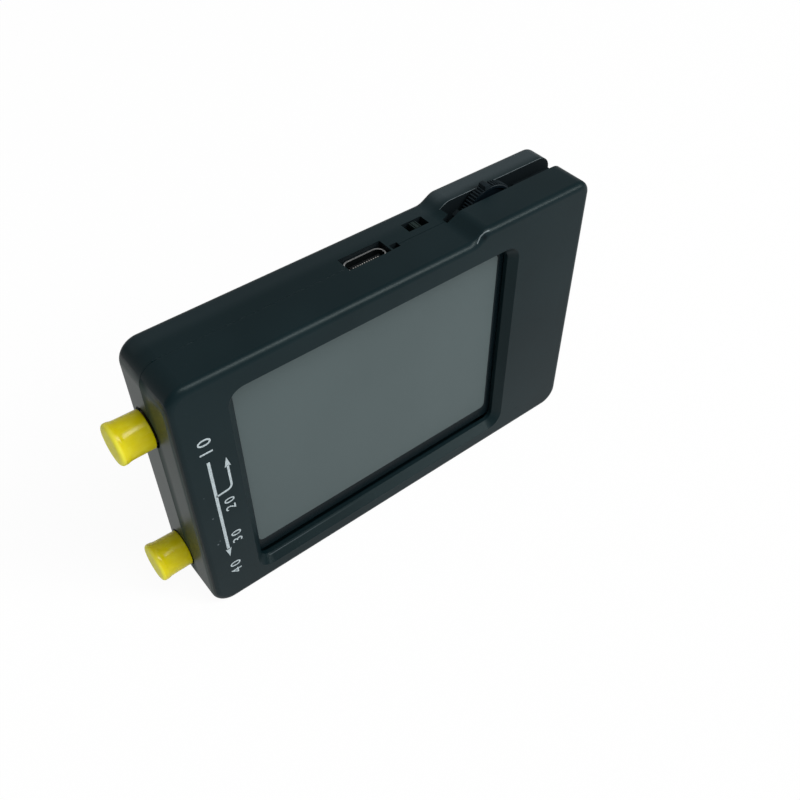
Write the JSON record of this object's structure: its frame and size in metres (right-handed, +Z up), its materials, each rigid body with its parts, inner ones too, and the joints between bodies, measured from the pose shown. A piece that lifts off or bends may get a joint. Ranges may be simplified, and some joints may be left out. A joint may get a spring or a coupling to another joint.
{
  "type": "antenna analyzer",
  "caption": "Pocket antenna analyzer with a sloped-edge screen window, capped coaxial ports, slide switch, jog wheel in a raised shoulder and a charging socket.",
  "frame": {"origin": "centre of the case's flat bottom face, on which it stands", "axes": "+Z up, screen facing -Y, signal ports towards -X, jog wheel at the top towards +X"},
  "size_m": [0.1009, 0.0172, 0.063],
  "materials": {
    "case_black": "fine satin moulding",
    "screw_steel": "black zinc",
    "foam_black": "closed-cell foam",
    "screen_glass": "matt touch film over glass",
    "lcd_glass": "dark grey-green, unlit",
    "light_guide_clear": "clear",
    "tray_metal": "tin plated",
    "ribbon_film": "amber film",
    "connector_ivory": "moulded",
    "connector_black": "moulded",
    "board_green": "solder mask",
    "port_gold": "gold plated",
    "contact_gold": "gold plated",
    "insulator_white": "satin",
    "cap_yellow": "soft gloss moulding",
    "socket_metal": "nickel plated",
    "switch_black": "moulded",
    "jog_black": "moulded",
    "pouch_foil": "satin foil",
    "lead_red": "insulated wire",
    "chip_black": "moulded",
    "capacitor_tan": "ceramic",
    "light_lens": "clear lens"
  },
  "bodies": {
    "case": {"front_shell": "case_black", "back_shell": "case_black", "case_screws": "screw_steel", "window_gasket": "foam_black", "touch_glass": "screen_glass", "lcd_panel": "lcd_glass", "light_guide": "light_guide_clear", "backlight_tray": "tray_metal", "display_ribbon": "ribbon_film", "ribbon_connector": "connector_ivory", "main_board": "board_green", "rf_connector_upper": "port_gold", "rf_connector_lower": "port_gold", "rf_insulator_upper": "insulator_white", "rf_insulator_lower": "insulator_white", "rf_contact_upper": "contact_gold", "rf_contact_lower": "contact_gold", "socket_shell": "socket_metal", "socket_tongue": "connector_black", "socket_contacts": "contact_gold", "power_switch_body": "socket_metal", "jog_base": "connector_black", "jog_leaf_spring": "socket_metal", "battery_cell": "pouch_foil", "battery_tape": "foam_black", "battery_guard": "board_green", "battery_socket": "connector_ivory", "battery_plug": "connector_ivory", "battery_leads": "lead_red", "shield_can_upper": "tray_metal", "shield_can_lower": "tray_metal", "processor_chip": "chip_black", "codec_chip": "chip_black", "clock_chip": "chip_black", "clock_crystal": "tray_metal", "charger_chip": "chip_black", "regulator_chip": "chip_black", "power_inductor": "chip_black", "mixer_chips": "chip_black", "board_capacitors": "capacitor_tan", "board_resistors": "chip_black", "charge_light": "light_lens", "status_light": "light_lens"},
    "jog_carrier": {"jog_carrier": "tray_metal", "jog_pivot_pin": "socket_metal"},
    "jog_wheel": {"jog_wheel": "jog_black"},
    "power_switch_knob": {"power_switch_knob": "switch_black"},
    "dust_cap_upper": {"dust_cap_upper": "cap_yellow"},
    "dust_cap_lower": {"dust_cap_lower": "cap_yellow"}
  },
  "joints": [
    {"name": "jog_press", "type": "slide", "parent": "case", "child": "jog_carrier", "axis": [0, 0, -1], "range_m": [0, 0.0006], "stiffness_N_per_m": 1500, "springref_m": -0.0003},
    {"name": "jog_rock", "type": "hinge", "parent": "jog_carrier", "child": "jog_wheel", "pos_m": [0.0289, 0.00175, 0.0561], "axis": [0, 1, 0], "range_deg": [-15, 15], "stiffness_Nm_per_rad": 0.02},
    {"name": "power_switch_slide", "type": "slide", "parent": "case", "child": "power_switch_knob", "axis": [1, 0, 0], "range_m": [-0.001, 0.001]},
    {"name": "upper_cap_pull", "type": "slide", "parent": "case", "child": "dust_cap_upper", "axis": [-1, 0, 0], "range_m": [0, 0.008]},
    {"name": "lower_cap_pull", "type": "slide", "parent": "case", "child": "dust_cap_lower", "axis": [-1, 0, 0], "range_m": [0, 0.008]}
  ]
}
